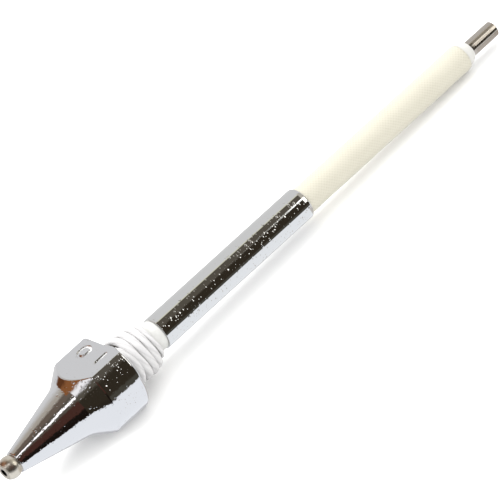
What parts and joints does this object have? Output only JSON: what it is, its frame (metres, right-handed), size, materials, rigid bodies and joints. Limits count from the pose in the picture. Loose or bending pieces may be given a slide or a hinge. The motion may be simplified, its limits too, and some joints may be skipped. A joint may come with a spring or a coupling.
{
  "type": "wood burning pen",
  "caption": "Heated pen head: screw-off hollow chromed nozzle with spanner flats, wound heater in a chromed barrel, cord-wrapped neck, woven sleeve and steel tail tube.",
  "frame": {"origin": "centre of the hole's mouth in the tip's flat front face", "axes": "+X along the pen from tip to tail, +Z out of the marked spanner flat"},
  "size_m": [0.1017, 0.0126, 0.01],
  "materials": {
    "tip_nickel": "satin",
    "nozzle_chrome": "polished",
    "barrel_chrome": "polished",
    "stainless_tube": "drawn",
    "copper": "satin",
    "core_brass": "machined",
    "glass_cord": "twisted",
    "woven_sleeve": "woven",
    "sleeve_end": "matte",
    "white_ceramic": "matte",
    "cream_ceramic": "matte",
    "mica": "satin",
    "resistance_wire": "drawn",
    "nickel_wire": "drawn",
    "lead_sleeving": "braided",
    "contact_brass": "machined"
  },
  "bodies": {
    "heater": {"heat_core": "core_brass", "wrap_cord": "glass_cord", "front_bush": "white_ceramic", "mica_wrap": "mica", "mica_washer_front": "mica", "mica_washer_rear": "mica", "heater_coil": "resistance_wire", "coil_return": "nickel_wire", "outer_insulator": "cream_ceramic", "barrel": "barrel_chrome", "rear_bush": "white_ceramic", "flow_tube": "stainless_tube", "ferrule_live": "nickel_wire", "ferrule_return": "nickel_wire", "lead_live": "nickel_wire", "lead_return": "nickel_wire", "lead_sleeve_live": "lead_sleeving", "lead_sleeve_return": "lead_sleeving", "sleeve_liner": "lead_sleeving", "glass_sleeve": "woven_sleeve", "end_bush": "sleeve_end", "contact_live": "contact_brass", "contact_return": "contact_brass"},
    "gasket": {"sealing_washer": "copper"},
    "nozzle": {"nozzle_shell": "nozzle_chrome", "tip_bead": "tip_nickel"}
  },
  "joints": [
    {"name": "nozzle_travel", "type": "slide", "parent": "heater", "child": "gasket", "axis": [-1, 0, 0], "range_m": [0, 0.00393]},
    {"name": "nozzle_turn", "type": "hinge", "parent": "gasket", "child": "nozzle", "pos_m": [0.018, 0, 0], "axis": [-1, 0, 0], "range_deg": [0, 1890]}
  ],
  "couplings": [
    {"joint": "nozzle_turn", "follows": "nozzle_travel", "rad_per_m": 8377.6}
  ]
}
